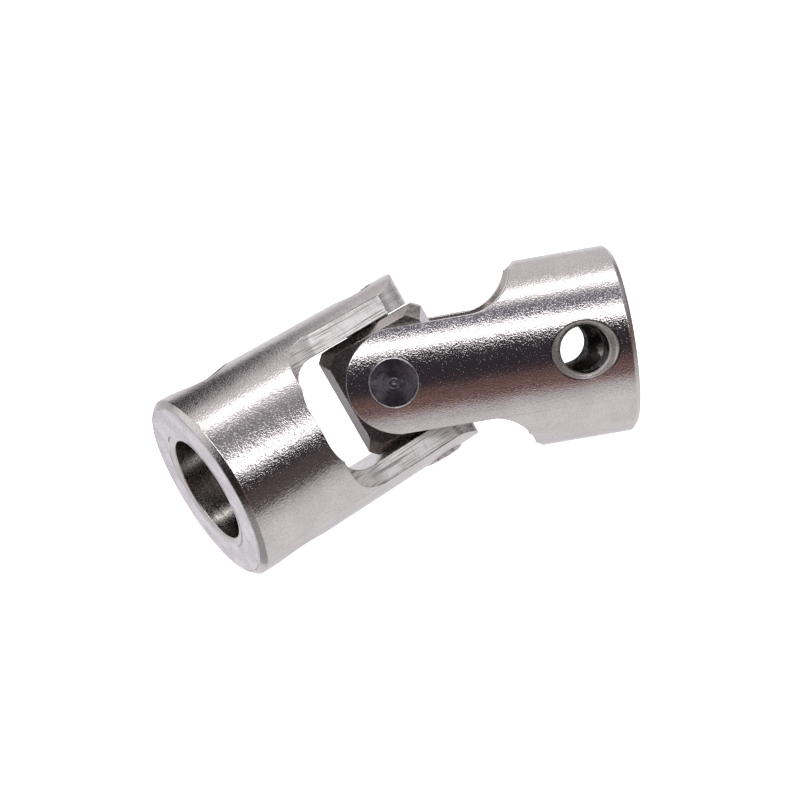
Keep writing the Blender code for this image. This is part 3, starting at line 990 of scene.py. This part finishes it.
s = Sky(wt)
dx, dy, dz = s.split.outputs[0], s.split.outputs[1], s.split.outputs[2]
safe = s.math("MAXIMUM", dz, 0.02)
gx = s.math("DIVIDE", dx, safe)      # position on a ceiling one unit up
gy = s.math("DIVIDE", dy, safe)
azimuth = s.math("MULTIPLY", s.math("ARCTAN2", dx, dy), 180.0 / math.pi)
elevation = s.math("MULTIPLY", s.math("ARCSINE", dz), 180.0 / math.pi)


def band(value, low, high, soft):
    up = s.between(value, low - soft, low + soft)
    down = s.between(value, high - soft, high + soft, 1.0, 0.0)
    return s.math("MULTIPLY", up, down)


def times(*values):
    out = values[0]
    for v in values[1:]:
        out = s.math("MULTIPLY", out, v)
    return out


# softbox behind and above, softbox in front and above
back_box = times(band(gy, 0.30, 0.56, 0.05), band(gx, -0.9, 0.75, 0.1))
tilt = s.math("ADD", gy, s.math("MULTIPLY", gx, 0.66))
front_box = times(band(tilt, -0.50, -0.235, 0.05), band(gx, -0.75, 1.4, 0.1))
# pale room at the back and right, dark room on the camera's side
behind = s.between(dy, -0.35, 0.05)
room = s.mix(behind, (0.042, 0.035, 0.044), (0.80, 0.78, 0.79))
# window light at the left
room = s.mix(times(band(azimuth, -84.0, -52.0, 6.0), band(elevation, 14.0, 60.0, 6.0)),
             room, (1.15, 1.15, 1.16))
# table light from below: dimmer near the front edge, brighter at the back
table_front = s.between(elevation, -40.0, -14.0, 0.90, 0.62)
left_front = s.between(azimuth, -150.0, -135.0)
left_front = times(left_front, s.math("MAXIMUM", s.between(azimuth, -112.0, -94.0, 1.0, 0.0),
                                      times(s.between(azimuth, -80.0, -60.0, 1.0, 0.0),
                                            s.between(elevation, -56.0, -46.0, 1.0, 0.0))))
table_front = times(table_front, s.between(left_front, 0.0, 1.0, 1.0, 0.48, False))
table_back = s.between(elevation, -62.0, -46.0, 0.80, 0.90)
back_part = times(s.between(azimuth, -24.0, -6.0), s.between(azimuth, 40.0, 56.0, 1.0, 0.0))
table = s.mix(back_part, s.combine(table_front, times(table_front, 0.985), table_front),
              s.combine(times(table_back, 0.975), times(table_back, 0.96), table_back))
below = s.between(elevation, -14.0, -9.0, 1.0, 0.0)
below_back = s.between(elevation, -4.0, 0.0, 1.0, 0.0)
below = s.math("MAXIMUM", below, s.math("MULTIPLY", below_back, s.between(dy, 0.3, 0.5)))
room = s.mix(below, room, table)
# grey edge of the table at the back, dark side of the room at the right
room = s.mix(times(band(elevation, -1.0, 6.0, 1.5), s.between(dy, 0.4, 0.6)),
             room, (0.66, 0.64, 0.66))
room = s.mix(times(band(azimuth, 52.0, 98.0, 5.0), band(elevation, -20.0, 7.0, 4.0)),
             room, (0.26, 0.24, 0.245))
# brown reflection just over the front edge of the table
low_front = times(band(elevation, -13.0, 14.0, 3.0), s.between(dy, -0.2, 0.0, 1.0, 0.0))
streak = s.math("MAXIMUM", band(elevation, -4.5, 0.0, 1.0), band(elevation, 6.0, 10.0, 1.0))
brown = s.mix(streak, (0.34, 0.212, 0.192), (0.045, 0.015, 0.015))
brown = s.mix(times(s.between(azimuth, -150.0, -140.0), s.between(dx, -0.3, -0.1, 1.0, 0.0)),
              brown, (0.035, 0.026, 0.026))
brown = s.mix(band(azimuth, 112.0, 154.0, 5.0), brown, (0.105, 0.088, 0.092))
room = s.mix(low_front, room, brown)
# dark card behind, low
card = times(band(azimuth, -42.0, 6.0, 2.5), band(elevation, 5.0, 46.0, 4.0))
room = s.mix(card, room, (0.075, 0.070, 0.078))
# grey ceiling between the boxes
ceiling = band(tilt, -0.21, 0.27, 0.05)
ceiling = times(ceiling, s.between(dz, 0.55, 0.75))
room = s.mix(ceiling, room, s.mix(s.between(dz, 0.93, 0.985), (0.30, 0.29, 0.31),
                                      (0.19, 0.19, 0.235)))
room = s.mix(back_box, room, s.mix(s.between(azimuth, 10.0, 34.0), (1.15, 1.14, 1.16),
                                       (3.9, 3.9, 3.95)))
room = s.mix(front_box, room, (4.2, 4.2, 4.25))

background = wt.nodes.new("ShaderNodeBackground")
wt.links.new(room, background.inputs["Color"])
plain = wt.nodes.new("ShaderNodeBackground")
plain.inputs["Color"].default_value = (1.0, 1.0, 1.0, 1.0)
plain.inputs["Strength"].default_value = 1.02
seen = wt.nodes.new("ShaderNodeLightPath")
choose = wt.nodes.new("ShaderNodeMixShader")
out = wt.nodes.new("ShaderNodeOutputWorld")
wt.links.new(seen.outputs["Is Camera Ray"], choose.inputs[0])
wt.links.new(background.outputs[0], choose.inputs[1])
wt.links.new(plain.outputs[0], choose.inputs[2])
wt.links.new(choose.outputs[0], out.inputs["Surface"])

# ------------------------------------------------------------------- camera
camera = bpy.data.objects.new("camera", bpy.data.cameras.new("camera"))
bpy.context.scene.collection.objects.link(camera)
eye = Vector((-0.01206463, -0.0447356, 0.0398043))
camera.matrix_world = Matrix((
    (0.9167985, 0.3437519, -0.2032611, eye.x),
    (-0.3727728, 0.5540640, -0.7443477, eye.y),
    (-0.1432513, 0.7581871, 0.6361064, eye.z),
    (0.0, 0.0, 0.0, 1.0)))
camera.data.sensor_width = 36.0
camera.data.lens = 55.0409
camera.data.shift_x = -0.0224594
camera.data.shift_y = 0.0459036
camera.data.clip_start = 0.001
camera.data.clip_end = 10.0
bpy.context.scene.camera = camera

bpy.context.scene.view_settings.view_transform = "Standard"
bpy.context.scene.view_settings.look = "None"

for obj in list(work.objects):
    bpy.data.objects.remove(obj, do_unlink=True)
bpy.data.collections.remove(work)
